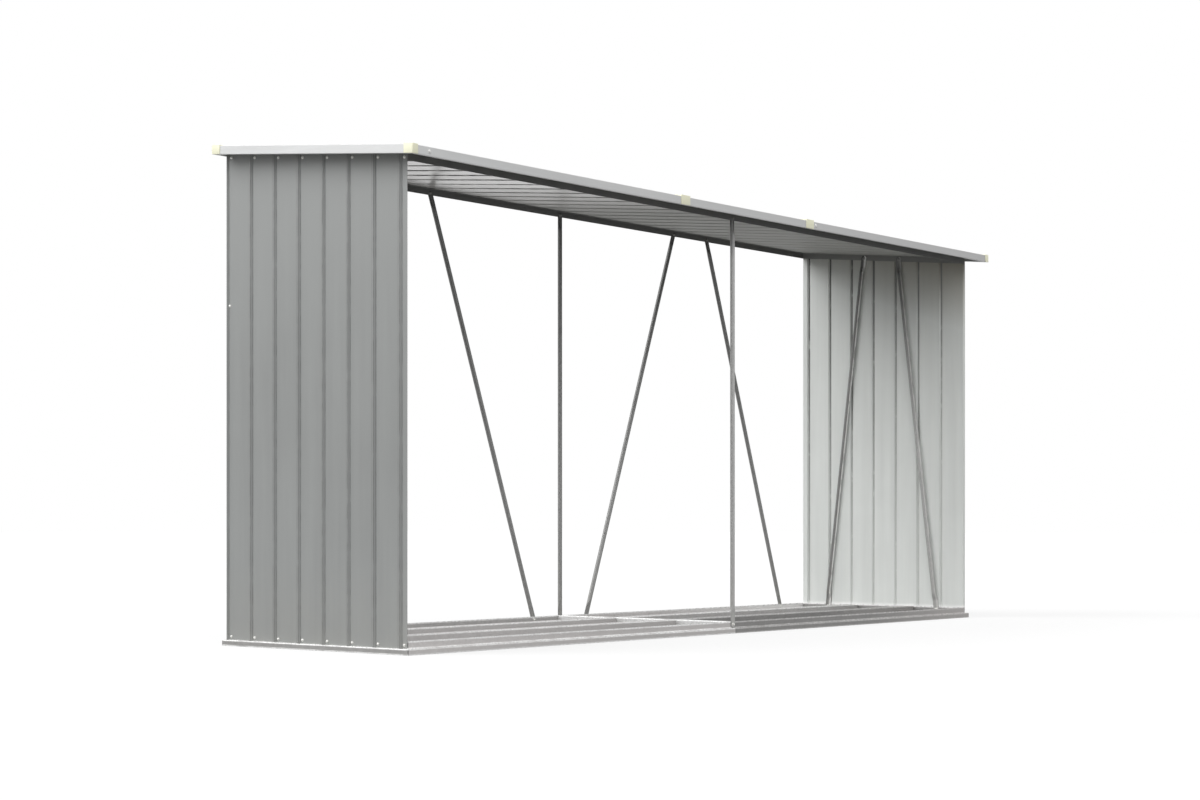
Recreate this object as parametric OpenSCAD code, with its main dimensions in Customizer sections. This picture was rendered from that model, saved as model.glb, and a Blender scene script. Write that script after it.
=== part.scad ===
// Lean-to log store of folded sheet steel: a stepped base frame with runners, two ribbed
// end walls, a ribbed roof that falls to the front, and tube posts and braces with
// flattened ends. Both long sides are open.
// Millimetres, Z up. The front is towards -Y, and the high side is at the back.
// The origin is on the ground, under the middle of the whole store.

/* [Base frame] */
// Length over the outer faces of the end rails
base_length = 3210; // [2600:10:4000]
// Depth over the outer faces of the long rails
base_depth = 788; // [640:1:1000]
// Height of the rail webs and of the runners
rail_height = 40; // [36:1:60]
// Height of the skirt, up to the ledge that the walls stand on
skirt_height = 18; // [12:1:22]
// Width of the ledge between the skirt and the web
ledge_width = 12; // [10:0.5:16]
// Width of the rail flange that lies on the ground
foot_width = 38; // [28:1:60]
// Sheet thickness of the rails, runners and cross-member
rail_sheet = 1.2; // [0.8:0.1:1.6]
// Width of the two runners
runner_width = 40; // [30:1:60]
// Width of the cross-member between the halves of the runners
cross_width = 30; // [20:1:50]

/* [End walls] */
// Distance from a rail's outer face to the upright edge of a wall sheet
wall_inset = 14; // [13:0.5:30]
// Number of pans in a wall sheet
wall_pans = 7; // [5:1:9]
// Width of the plain strip at one edge of a wall sheet
wall_strip = 28; // [18:1:40]
// Thickness of the ribbed wall and roof sheets
sheet = 0.6; // [0.5:0.1:1]

/* [Ribs] */
// Width of a rib where it leaves the sheet
rib_base = 16; // [12:1:24]
// Width of the flat crest of a rib
rib_crest = 6; // [3:1:8]
// Height of a rib above the sheet
rib_height = 6; // [4:0.5:8]

/* [Roof] */
// Reach of the roof past each end rail
end_overhang = 45; // [20:1:120]
// Reach of the roof past the front rail
front_overhang = 60; // [40:1:120]
// Slope of the roof in degrees
roof_slope = 6; // [3:0.5:10]
// Height of the roof sheets' underside at the front edge
eave_height = 1420; // [1200:5:1800]
// Number of pans in one roof sheet
roof_pans = 7; // [5:1:9]

/* [Roof frame and trim] */
// Height of the front and back beams
beam_height = 22; // [20:0.5:36]
// Width of the flanges under the roof sheets
beam_flange = 20; // [12:1:30]
// Sheet thickness of the beams and top rails
beam_sheet = 1.2; // [0.8:0.1:1.6]
// Height of the edge trim
trim_height = 26.5; // [24:0.5:40]
// Drop of the edge trim below the roof sheets
trim_drop = 9.5; // [8:0.5:15]
// Width of the trim's folded lips
trim_lip = 12; // [8:1:20]
// Sheet thickness of the trim
trim_sheet = 1; // [0.7:0.1:1.4]
// Distance from the middle to each joint of the long trims
trim_joint = 367; // [250:1:600]

/* [Caps and clips] */
// Wall thickness of the moulded corner caps and clips
cap_wall = 2; // [1.5:0.1:3]
// Height of a corner cap's top above the trims
cap_crown = 2.5; // [2:0.5:8]
// Reach of a corner cap along the end trim
cap_reach_end = 33; // [28:1:60]
// Reach of a corner cap along the long trim
cap_reach_long = 21; // [18:1:60]
// Width of a clip over a trim joint
clip_width = 48; // [30:1:80]
// Height of a clip's top above the trims
clip_crown = 5; // [2:0.5:8]

/* [Posts and braces] */
// Diameter of the tubes
tube_d = 16; // [13:0.5:19]
// Width of a flattened tube end
flat_width = 23; // [18:1:25]
// Thickness of a flattened tube end
flat_thickness = 2.4; // [1.6:0.2:3.2]
// Length of the flat from its bolt to the swage
flat_length = 32; // [26:1:50]
// Length of the swage between flat and tube
swage_length = 34; // [20:1:60]
// Distance from the mid post to the foot of the next back brace
brace_foot_from_post = 148; // [60:1:260]
// Distance from a wall to the foot of the next back brace
brace_foot_from_wall = 166; // [60:1:300]
// Distance of each back brace's head from the middle of its bay
brace_head_spread = 108; // [40:1:200]
// Distance of each wall brace's head from the middle of the wall
wall_brace_head_spread = 82; // [40:1:140]
// Distance of each wall brace's foot from the outer face of the long rail beside it
wall_brace_foot_inset = 138; // [80:1:220]

/* [Hidden] */
$fn = 48;

// Gap between pieces that meet end to end or stand beside each other
fit_gap = 0.4;
// Gap under the roof sheets and in the moulded caps
seat_gap = 0.2;
// How far cuts run past what they cut
overrun = 20;
// Thickness of the end slices that a swage is drawn between
swage_slice = 0.4;
// Facets of the round end of a swage
swage_facets = 32;
// Half of anything
half_share = 0.5;
// Places of the two runners across the depth
runner_shares = [1/3, 2/3];

galvanised = "#b9babb";
dark_steel = "#45474a";
wall_grey = "#9b9c99";
roof_grey = "#a8aaa9";
trim_grey = "#b4b6b8";
cream = "#ebe6c6";

half_length = base_length*half_share;
half_depth = base_depth*half_share;
roof_length = base_length + 2*end_overhang;
half_roof = roof_length*half_share;

// The frame planes hold the rail webs' outer faces, the walls' inner faces and the beams
frame_x = half_length - ledge_width;
frame_y = half_depth - ledge_width;

// Front faces of the front trim, and back faces of the back trim behind the struts' heads
roof_front = -half_depth - front_overhang;
roof_back = frame_y + flat_thickness + seat_gap + trim_sheet;

// Depth of the boxed lower edge of the trim
trim_box = trim_lip + 2*trim_sheet;

wall_width = base_depth - 2*wall_inset;
wall_pitch = (wall_width - wall_strip)/wall_pans;
wall_tallest = roof_under(half_depth) - skirt_height;

sheet_count = 4;
sheet_cover = roof_length/sheet_count;
roof_pitch = sheet_cover/roof_pans;

// Web height of the sloping top rails, square to the slope
top_rail_height = beam_height*cos(roof_slope);

// Round ends of the flats keep this far inside the edges that they are bolted to
flat_radius = flat_width*half_share;
foot_bolt = skirt_height + flat_radius;
head_bolt_drop = flat_radius + beam_sheet;
bay_middle = frame_x*half_share;
wall_brace_foot_spread = half_depth - wall_brace_foot_inset;

// Moves the store so that its whole outline is centred over the origin
centre_shift = (front_overhang + seat_gap + cap_wall)*half_share;

// Height of the roof sheets' underside at a place along the depth
function roof_under(y) = eave_height + (y - roof_front)*tan(roof_slope);

// Height of the trims' lower and upper edges at a place along the depth
function trim_bottom(y) = roof_under(y) - trim_drop;
function trim_top(y) = trim_bottom(y) + trim_height;

// Unit direction from one point to the next
function heading(a, b) = (b - a)/norm(b - a);

// Right-hand normal of a direction
function right_of(d) = [d.y, -d.x];

// Shift of a path's point that keeps a sheet's thickness through its bend
function bend_shift(path, i) =
    let (
        last = len(path) - 1,
        before = right_of(heading(path[max(i - 1, 0)], path[max(i, 1)])),
        after = right_of(heading(path[min(i, last - 1)], path[min(i + 1, last)]))
    )
    (before + after)/(1 + before*after);

// Outline of a folded strip: the path, and the same path one thickness to its right
function folded(path, thickness) = concat(
    path,
    [for (i = [len(path) - 1 : -1 : 0]) path[i] + thickness*bend_shift(path, i)]
);

// Points of one rib that stands on the line of a sheet, around its middle
function rib(middle) = [
    [middle - rib_base*half_share, 0],
    [middle - rib_crest*half_share, rib_height],
    [middle + rib_crest*half_share, rib_height],
    [middle + rib_base*half_share, 0]
];

// Path of a ribbed sheet from one edge to the other
function ribbed(start, ribs, end) = concat(start, [for (m = ribs) each rib(m)], end);

module placed() translate([0, centre_shift, 0]) children();

// Extrudes a section drawn in Y and Z along X
module along_x(from, to) {
    translate([from, 0, 0]) rotate([90, 0, 90]) linear_extrude(to - from) children();
}

// Extrudes a section drawn in X and Z along Y
module along_y(from, to) {
    translate([0, to, 0]) rotate([90, 0, 0]) linear_extrude(to - from) children();
}

// Frame of the roof: Y runs up the slope from the front edge, and Z stands square to it
module on_roof() {
    translate([0, roof_front, roof_under(roof_front)]) rotate([roof_slope, 0, 0]) children();
}

// Stepped rail along X, with its outer face on Y = 0, mitred at its corners
module rail(length, mitre_start, mitre_end) {
    section = [
        [foot_width, 0], [0, 0], [0, skirt_height],
        [ledge_width, skirt_height], [ledge_width, rail_height]
    ];
    plan = [
        [0, 0], [length, 0],
        [length - (mitre_end ? foot_width : 0), foot_width],
        [mitre_start ? foot_width : 0, foot_width]
    ];
    intersection() {
        along_x(0, length) polygon(folded(section, rail_sheet));
        linear_extrude(rail_height) polygon(plan);
    }
}

module long_rail(mitre_start, mitre_end) {
    rail(half_length - fit_gap*half_share, mitre_start, mitre_end);
}

module front_rail_left() {
    color(galvanised) placed() translate([-half_length, -half_depth, 0]) long_rail(true, false);
}

module front_rail_right() {
    color(galvanised) placed()
        translate([fit_gap*half_share, -half_depth, 0]) long_rail(false, true);
}

module back_rail_left() {
    color(galvanised) placed()
        translate([-fit_gap*half_share, half_depth, 0]) rotate([0, 0, 180]) long_rail(false, true);
}

module back_rail_right() {
    color(galvanised) placed()
        translate([half_length, half_depth, 0]) rotate([0, 0, 180]) long_rail(true, false);
}

module left_rail() {
    color(galvanised) placed()
        translate([-half_length, half_depth, 0]) rotate([0, 0, -90]) rail(base_depth, true, true);
}

module right_rail() {
    color(galvanised) placed()
        translate([half_length, -half_depth, 0]) rotate([0, 0, 90]) rail(base_depth, true, true);
}

// Inverted channel of one width, with its feet one sheet above the ground
function channel(width) =
    let (side = width*half_share)
    folded(
        [[-side, rail_sheet], [-side, rail_height], [side, rail_height], [side, rail_sheet]],
        rail_sheet
    );

// Half of a runner to the right of the middle, from the cross-member to the right rail
module runner_half(share) {
    start = cross_width*half_share + fit_gap;
    translate([0, base_depth*(share - half_share), 0])
        along_x(start, frame_x - rail_sheet - fit_gap) polygon(channel(runner_width));
}

module front_runner_left() {
    color(galvanised) placed() mirror([1, 0, 0]) runner_half(runner_shares[0]);
}

module front_runner_right() {
    color(galvanised) placed() runner_half(runner_shares[0]);
}

module rear_runner_left() {
    color(galvanised) placed() mirror([1, 0, 0]) runner_half(runner_shares[1]);
}

module rear_runner_right() {
    color(galvanised) placed() runner_half(runner_shares[1]);
}

// Channel from front rail to back rail, lying on their foot flanges
module cross_member() {
    reach = frame_y - rail_sheet - fit_gap;
    color(galvanised) placed() along_y(-reach, reach) polygon(channel(cross_width));
}

// Ribbed wall sheet, as tall as its highest corner, with its inner face on X = -frame_x.
// It starts with a plain strip at the front and ends at the back in half a rib.
module wall_sheet() {
    front = -half_depth + wall_inset;
    back = half_depth - wall_inset;
    flank = (rib_base - rib_crest)*half_share;
    ribs = [for (i = [0 : wall_pans - 1]) front + wall_strip + i*wall_pitch];
    path = ribbed([[front, 0]], ribs, [[back - flank, 0], [back, rib_height]]);
    translate([-frame_x - sheet, 0, skirt_height])
        linear_extrude(wall_tallest)
            polygon([for (p = folded(path, -sheet)) [sheet - p.y, p.x]]);
}

// Trims what is under it to the slope of the roof
module under_roof() {
    profile = [
        [-half_depth - overrun, 0], [half_depth + overrun, 0],
        [half_depth + overrun, roof_under(half_depth + overrun) - fit_gap],
        [-half_depth - overrun, roof_under(-half_depth - overrun) - fit_gap]
    ];
    intersection() {
        children();
        along_x(-half_roof, half_roof) polygon(profile);
    }
}

module left_wall() {
    color(wall_grey) placed() under_roof() wall_sheet();
}

module right_wall() {
    color(wall_grey) placed() under_roof() rotate([0, 0, 180]) wall_sheet();
}

// Rounded flat end of a tube, around its bolt, with its seat on Y = 0
module flat_end() {
    rotate([90, 0, 0]) cylinder(d = flat_width, h = flat_thickness);
    translate([-flat_radius, -flat_thickness, 0])
        cube([flat_width, flat_thickness, flat_length]);
}

// Swage from the flat up to the tube
module swage(axis) {
    hull() {
        translate([-flat_radius, -flat_thickness, flat_length - swage_slice])
            cube([flat_width, flat_thickness, swage_slice]);
        translate([0, -axis, flat_length + swage_length])
            cylinder(d = tube_d, h = swage_slice, $fn = swage_facets);
    }
}

// Flattened end of a tube whose middle lies one axis distance in front of its seat
module strut_end(axis) {
    flat_end();
    swage(axis);
}

// Foot and tube of a strut, from a bolt on its seat up to the swage of its head
module strut_body(span, axis) {
    end = flat_length + swage_length;
    strut_end(axis);
    translate([0, -axis, end]) cylinder(d = tube_d, h = span - 2*end);
}

// Tube between two bolts given along X and Z, with both seats on Y = 0
module strut(foot, head, axis) {
    run = head - foot;
    span = norm(run);
    translate([foot.x, 0, foot.y]) rotate([0, atan2(run.x, run.y), 0]) {
        strut_body(span, axis);
        translate([0, 0, span]) mirror([0, 0, 1]) strut_end(axis);
    }
}

// Bolt heights on the beams, and on the top rails at a place along the depth
function beam_bolt(y) = roof_under(y) - seat_gap - head_bolt_drop;

// Post with its foot outside the front rail's web and its head inside the front beam's web
module front_post() {
    axis = -beam_sheet*half_share;
    span = beam_bolt(-frame_y) - seat_gap - foot_bolt;
    color(galvanised) placed() translate([0, -frame_y, foot_bolt]) {
        strut_body(span, axis);
        translate([0, beam_sheet, span]) rotate([180, 0, 0]) strut_end(axis);
    }
}

// Strut behind the webs of the back rail and back beam
module back_strut(foot_x, head_x) {
    color(galvanised) placed() translate([0, frame_y, 0]) mirror([0, 1, 0])
        strut([foot_x, foot_bolt], [head_x, beam_bolt(frame_y)], flat_thickness*half_share);
}

module back_post() back_strut(0, 0);

module back_brace_1() {
    back_strut(brace_foot_from_wall - frame_x, -bay_middle - brace_head_spread);
}

module back_brace_2() back_strut(-brace_foot_from_post, brace_head_spread - bay_middle);

module back_brace_3() back_strut(brace_foot_from_post, bay_middle - brace_head_spread);

module back_brace_4() {
    back_strut(frame_x - brace_foot_from_wall, bay_middle + brace_head_spread);
}

// Strut inside an end wall, for a side of -1 at the left or 1 at the right
module wall_strut(side, towards) {
    head_y = towards*wall_brace_head_spread;
    inner = frame_x - max(rail_sheet, beam_sheet);
    rise = flat_radius*tan(roof_slope);
    color(galvanised) placed() translate([side*inner, 0, 0]) rotate([0, 0, -90*side])
        strut([-side*towards*wall_brace_foot_spread, foot_bolt],
            [-side*head_y, beam_bolt(head_y) - rise], tube_d*half_share);
}

module left_wall_brace_front() wall_strut(-1, -1);

module left_wall_brace_rear() wall_strut(-1, 1);

module right_wall_brace_front() wall_strut(1, -1);

module right_wall_brace_rear() wall_strut(1, 1);

// Beam to the right of the middle. The web is upright and the flange follows the roof.
module beam_half(y, inward) {
    top = roof_under(y) - seat_gap;
    flange_y = y + inward*beam_flange;
    section = [[y, top - beam_height], [y, top], [flange_y, roof_under(flange_y) - seat_gap]];
    along_x(fit_gap*half_share, frame_x - beam_sheet - fit_gap)
        polygon(folded(section, inward*beam_sheet));
}

module front_beam_left() color(dark_steel) placed() mirror([1, 0, 0]) beam_half(-frame_y, 1);

module front_beam_right() color(dark_steel) placed() beam_half(-frame_y, 1);

module back_beam_left() color(dark_steel) placed() mirror([1, 0, 0]) beam_half(frame_y, -1);

module back_beam_right() color(dark_steel) placed() beam_half(frame_y, -1);

// Sloping angle inside the top of the left wall. Its flange stops at the beams' flanges.
module top_rail() {
    flange_reach = frame_y - beam_flange - fit_gap;
    depth = 2*frame_y;
    intersection() {
        on_roof() translate([-frame_x, -depth, -seat_gap - top_rail_height])
            cube([beam_sheet, 3*depth, top_rail_height]);
        translate([-half_length, -frame_y, 0])
            cube([base_length, depth, roof_under(half_depth)]);
    }
    intersection() {
        on_roof() translate([-frame_x, -depth, -seat_gap - beam_sheet])
            cube([beam_flange, 3*depth, beam_sheet]);
        translate([-half_length, -flange_reach, 0])
            cube([base_length, 2*flange_reach, roof_under(half_depth)]);
    }
}

module left_top_rail() color(dark_steel) placed() top_rail();

module right_top_rail() color(dark_steel) placed() mirror([1, 0, 0]) top_rail();

// Ribbed roof sheet, counted from the left. A rib stands on each joint and each pitch.
module roof_sheet(index) {
    first = index == 0;
    last = index == sheet_count - 1;
    left = index*sheet_cover - half_roof;
    edge = trim_sheet + fit_gap;
    foot = rib_base*half_share;
    ribs = [for (i = [first ? 1 : 0 : roof_pans - 1]) left + i*roof_pitch];
    start = first ? [[left + edge, 0]] : [];
    end = [[left + sheet_cover - (last ? edge : foot + fit_gap), 0]];
    slope_length = (roof_back - roof_front)/cos(roof_slope);
    color(roof_grey) placed() on_roof() along_y(edge, slope_length - edge)
        polygon(folded(ribbed(start, ribs, end), -sheet));
}

module roof_sheet_1() roof_sheet(0);

module roof_sheet_2() roof_sheet(1);

module roof_sheet_3() roof_sheet(2);

module roof_sheet_4() roof_sheet(3);

// Front trim: a channel whose lower lip turns up again to carry the sheets' ends
module front_trim(from, to) {
    inner = roof_front + trim_box;
    lip = roof_front + trim_lip;
    section = [
        [inner, roof_under(inner - trim_sheet) - seat_gap],
        [inner, trim_bottom(inner)],
        [roof_front, trim_bottom(roof_front)],
        [roof_front, trim_top(roof_front)],
        [lip, trim_top(lip)]
    ];
    color(trim_grey) placed()
        along_x(from + fit_gap*half_share, to - fit_gap*half_share)
            polygon(folded(section, trim_sheet));
}

module front_trim_left() front_trim(-half_roof, -trim_joint);

module front_trim_middle() front_trim(-trim_joint, trim_joint);

module front_trim_right() front_trim(trim_joint, half_roof);

// Back trim: an angle over the sheets' ends and the heads of the back struts
module back_trim(from, to) {
    lip = roof_back - trim_lip;
    section = [
        [lip, trim_top(lip)],
        [roof_back, trim_top(roof_back)],
        [roof_back, trim_bottom(roof_back)]
    ];
    color(trim_grey) placed()
        along_x(from + fit_gap*half_share, to - fit_gap*half_share)
            polygon(folded(section, trim_sheet));
}

module back_trim_left() back_trim(-half_roof, -trim_joint);

module back_trim_middle() back_trim(-trim_joint, trim_joint);

module back_trim_right() back_trim(trim_joint, half_roof);

// End trim at the left, between the lips of the front and back trims
module end_trim() {
    start = roof_front + trim_box + fit_gap;
    stop = roof_back - trim_lip - fit_gap;
    upright = cos(roof_slope);
    bottom = -trim_drop*upright;
    top = bottom + trim_height*upright;
    section = [
        [trim_box, -seat_gap], [trim_box, bottom], [0, bottom], [0, top], [trim_lip, top]
    ];
    intersection() {
        on_roof() translate([-half_roof, 0, 0])
            along_y(-base_depth, 2*base_depth) polygon(folded(section, trim_sheet));
        translate([-roof_length, start, 0])
            cube([roof_length, stop - start, 2*eave_height]);
    }
}

module left_trim() color(trim_grey) placed() end_trim();

module right_trim() color(trim_grey) placed() mirror([1, 0, 0]) end_trim();

// Section in Y and Z between two places along the depth, from the trims' lower edge up
function cap_section(y0, y1, below, above) = [
    [y0, trim_bottom(y0) - below], [y1, trim_bottom(y1) - below],
    [y1, trim_top(y1) + above], [y0, trim_top(y0) + above]
];

// Cap over the left corner of the trims at a place along the depth. It is closed at the
// outside, at the end and on top.
module corner_cap(y, inward) {
    face = y - inward*seat_gap;
    outer_end = -half_roof - seat_gap - cap_wall;
    difference() {
        along_x(outer_end, -half_roof + cap_reach_long)
            polygon(cap_section(face - inward*cap_wall, y + inward*cap_reach_end, 0, cap_crown));
        along_x(-half_roof - seat_gap, -half_roof + cap_reach_long + overrun)
            polygon(cap_section(face, y + inward*(cap_reach_end + overrun), overrun, seat_gap));
    }
}

module corner_caps() {
    color(cream) placed()
        for (side = [0, 1]) mirror([side, 0, 0]) {
            corner_cap(roof_front, 1);
            corner_cap(roof_back, -1);
        }
}

// Clip over a joint of the long trims, hooked over their top lip
module trim_clip(y, inward) {
    face = y - inward*seat_gap;
    reach = y + inward*(trim_lip + trim_box);
    difference() {
        along_x(-clip_width*half_share, clip_width*half_share)
            polygon(cap_section(face - inward*cap_wall, reach, 0, clip_crown));
        along_x(-clip_width, clip_width)
            polygon(cap_section(face, reach + inward*overrun, overrun, seat_gap));
    }
}

module trim_clips() {
    color(cream) placed()
        for (x = [-trim_joint, trim_joint]) translate([x, 0, 0]) {
            trim_clip(roof_front, 1);
            trim_clip(roof_back, -1);
        }
}

front_rail_left();
front_rail_right();
back_rail_left();
back_rail_right();
left_rail();
right_rail();
front_runner_left();
front_runner_right();
rear_runner_left();
rear_runner_right();
cross_member();
left_wall();
right_wall();
front_post();
back_post();
back_brace_1();
back_brace_2();
back_brace_3();
back_brace_4();
left_wall_brace_front();
left_wall_brace_rear();
right_wall_brace_front();
right_wall_brace_rear();
front_beam_left();
front_beam_right();
back_beam_left();
back_beam_right();
left_top_rail();
right_top_rail();
roof_sheet_1();
roof_sheet_2();
roof_sheet_3();
roof_sheet_4();
front_trim_left();
front_trim_middle();
front_trim_right();
back_trim_left();
back_trim_middle();
back_trim_right();
left_trim();
right_trim();
corner_caps();
trim_clips();
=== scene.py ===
import itertools
import math

import bmesh
import bpy
from mathutils import Matrix, Vector


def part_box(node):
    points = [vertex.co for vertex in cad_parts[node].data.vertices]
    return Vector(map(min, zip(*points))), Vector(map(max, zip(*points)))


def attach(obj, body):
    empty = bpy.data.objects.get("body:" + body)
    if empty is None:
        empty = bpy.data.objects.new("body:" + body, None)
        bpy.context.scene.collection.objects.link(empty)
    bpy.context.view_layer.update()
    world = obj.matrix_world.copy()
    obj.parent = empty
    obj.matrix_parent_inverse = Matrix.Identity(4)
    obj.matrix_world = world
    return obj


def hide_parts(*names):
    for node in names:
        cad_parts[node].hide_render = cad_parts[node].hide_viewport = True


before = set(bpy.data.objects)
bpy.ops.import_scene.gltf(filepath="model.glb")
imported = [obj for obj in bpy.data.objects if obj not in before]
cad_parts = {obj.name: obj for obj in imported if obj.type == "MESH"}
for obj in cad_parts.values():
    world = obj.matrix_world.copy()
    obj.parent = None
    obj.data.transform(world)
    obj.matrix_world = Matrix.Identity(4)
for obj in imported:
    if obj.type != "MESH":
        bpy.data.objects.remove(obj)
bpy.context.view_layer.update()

mm = 0.001
right, deep, up = Vector((1, 0, 0)), Vector((0, 1, 0)), Vector((0, 0, 1))


def srgb(*levels):
    linear = [v / 3294.6 if v < 10.3 else ((v / 255 + 0.055) / 1.055) ** 2.4 for v in levels]
    return (*linear, 1.0)


def addNode(tree, kind, inputs=None, **settings):
    node = tree.nodes.new(kind)
    for key, value in settings.items():
        setattr(node, key, value)
    for key, value in (inputs or {}).items():
        if isinstance(value, bpy.types.NodeSocket):
            tree.links.new(value, node.inputs[key])
        else:
            node.inputs[key].default_value = value
    return node


def maths(tree, operation, *values):
    return addNode(tree, "ShaderNodeMath", dict(enumerate(values)), operation=operation).outputs[0]


def blend(tree, share, first, second):
    return addNode(tree, "ShaderNodeMix", {0: share, 6: first, 7: second}, data_type="RGBA").outputs[2]


def newGroup(name, kind, inputs, outputs):
    tree = bpy.data.node_groups.new(name, kind)
    for direction, sockets in (("INPUT", inputs), ("OUTPUT", outputs)):
        for label, socketKind in sockets.items():
            tree.interface.new_socket(label, in_out=direction, socket_type="NodeSocket" + socketKind)
    given = tree.nodes.new("NodeGroupInput").outputs
    result = tree.nodes.new("NodeGroupOutput").inputs
    return tree, given, result


# Where the store stands, read from the frame

slope = math.radians(6)
rise = math.tan(slope)
slopeUp = Vector((0, math.cos(slope), math.sin(slope)))
roofNormal = Vector((0, -math.sin(slope), math.cos(slope)))
trim = {
    "sheet": 1.0 * mm,
    "lip": 12 * mm,
    "box": 14 * mm,
    "drop": 9.5 * mm,
    "height": 26.5 * mm,
    "seatGap": 0.2 * mm,
    "bend": {"radius": 1.3 * mm, "steps": 3, "support": 0.8 * mm, "panStep": 20 * mm, "brightEnd": False},
    "rowStep": 90 * mm,
    "dentHeight": 0.15 * mm,
    "dentSize": 220 * mm,
}
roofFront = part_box("front_trim_left")[0].y
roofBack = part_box("back_trim_left")[1].y
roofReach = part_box("right_trim")[1].x
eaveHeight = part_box("front_trim_left")[0].z + trim["drop"]


def roofUnder(y):
    return eaveHeight + (y - roofFront) * rise


# Shader groups that several finishes share

noise = {
    "mottle": {"Detail": 5.0, "Roughness": 0.55},
    "streak": {"Detail": 3.0},
    "grain": {"Detail": 2.0},
    "patches": {"Scale": 22.0, "Detail": 3.0},
    "specks": {"Scale": 14.0, "Detail": 6.0},
    "waves": {"Detail": 1.0},
}
noiseGain = 4.0  # widens the swing of a noise value to about one
foldMarkPatchRange = {"From Min": 0.3, "From Max": 0.6, "To Min": 0.35, "To Max": 1.0}
toneRange = {"From Min": 0.3, "From Max": 0.7}


def coatVariationGroup():
    tree, given, result = newGroup(
        "coatVariation", "ShaderNodeTree",
        {"Vector": "Vector", "Stretch": "Vector", "Colour": "Color", "Shade": "Float",
         "Mottle Size": "Float", "Streak Size": "Float", "Grain Size": "Float"},
        {"Colour": "Color", "Tone": "Float", "Grain": "Float"})
    mottle = addNode(tree, "ShaderNodeTexNoise", {
        "Vector": given["Vector"], "Scale": maths(tree, "DIVIDE", 1.0, given["Mottle Size"]),
        **noise["mottle"]})
    drawn = addNode(tree, "ShaderNodeVectorMath", {0: given["Vector"], 1: given["Stretch"]},
                    operation="MULTIPLY")
    streak = addNode(tree, "ShaderNodeTexNoise", {
        "Vector": drawn.outputs[0], "Scale": maths(tree, "DIVIDE", 1.0, given["Streak Size"]),
        **noise["streak"]})
    grain = addNode(tree, "ShaderNodeTexNoise", {
        "Vector": given["Vector"], "Scale": maths(tree, "DIVIDE", 1.0, given["Grain Size"]),
        **noise["grain"]})
    both = maths(tree, "ADD", mottle.outputs[0], streak.outputs[0])
    tone = maths(tree, "MULTIPLY", both, 0.5)
    swing = maths(tree, "MULTIPLY", maths(tree, "SUBTRACT", tone, 0.5), given["Shade"])
    level = maths(tree, "MULTIPLY_ADD", swing, noiseGain, 1.0)
    shaded = addNode(tree, "ShaderNodeVectorMath", {0: given["Colour"], "Scale": level}, operation="SCALE")
    tree.links.new(shaded.outputs[0], result["Colour"])
    tree.links.new(tone, result["Tone"])
    tree.links.new(grain.outputs[0], result["Grain"])
    return tree


def zincSpangleGroup():
    tree, given, result = newGroup(
        "zincSpangle", "ShaderNodeTree",
        {"Vector": "Vector", "Colour": "Color", "Crystal Size": "Float", "Contrast": "Float"},
        {"Colour": "Color", "Tone": "Float"})
    crystals = addNode(tree, "ShaderNodeTexVoronoi", {
        "Vector": given["Vector"], "Randomness": 1.0,
        "Scale": maths(tree, "DIVIDE", 1.0, given["Crystal Size"])}, feature="F1")
    flake = addNode(tree, "ShaderNodeSeparateColor", {0: crystals.outputs["Color"]}).outputs[0]
    swing = maths(tree, "MULTIPLY", maths(tree, "SUBTRACT", flake, 0.5), given["Contrast"])
    level = maths(tree, "ADD", swing, 1.0)
    shaded = addNode(tree, "ShaderNodeVectorMath", {0: given["Colour"], "Scale": level}, operation="SCALE")
    tree.links.new(shaded.outputs[0], result["Colour"])
    tree.links.new(flake, result["Tone"])
    return tree


# Mixes a second colour in along the marked folds: polish on some finishes, painted highlights and painted
# shade on others.
def edgePolishAndPaintedLightGroup():
    tree, given, result = newGroup(
        "edgePolishAndPaintedLight", "ShaderNodeTree",
        {"Vector": "Vector", "Colour": "Color", "Polish And Painted Light": "Color", "Worn": "Float", "Wear": "Float"},
        {"Colour": "Color", "Mask": "Float"})
    patches = addNode(tree, "ShaderNodeTexNoise", {"Vector": given["Vector"], **noise["patches"]})
    kept = addNode(tree, "ShaderNodeMapRange", {"Value": patches.outputs[0], **foldMarkPatchRange})
    patched = maths(tree, "MULTIPLY", given["Worn"], kept.outputs[0])
    mask = maths(tree, "MULTIPLY", patched, given["Wear"])
    tree.links.new(blend(tree, mask, given["Colour"], given["Polish And Painted Light"]), result["Colour"])
    tree.links.new(mask, result["Mask"])
    return tree


# Mixes a colour in near the floor: settled dust on most finishes, a painted highlight band at the foot of the
# walls' inner side.
def settledDustAndPaintedHighlightGroup():
    tree, given, result = newGroup(
        "settledDustAndPaintedHighlight", "ShaderNodeTree",
        {"Vector": "Vector", "Colour": "Color", "Dust": "Color", "Rise": "Float", "Amount": "Float"},
        {"Colour": "Color"})
    height = addNode(tree, "ShaderNodeSeparateXYZ", {0: given["Vector"]}).outputs["Z"]
    low = addNode(tree, "ShaderNodeMapRange", {
        "Value": height, "From Max": given["Rise"], "To Min": 1.0, "To Max": 0.0})
    specks = addNode(tree, "ShaderNodeTexNoise", {"Vector": given["Vector"], **noise["specks"]})
    settled = maths(tree, "MULTIPLY", low.outputs[0], specks.outputs[0])
    mask = maths(tree, "MULTIPLY", settled, given["Amount"])
    tree.links.new(blend(tree, mask, given["Colour"], given["Dust"]), result["Colour"])
    return tree


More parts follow.
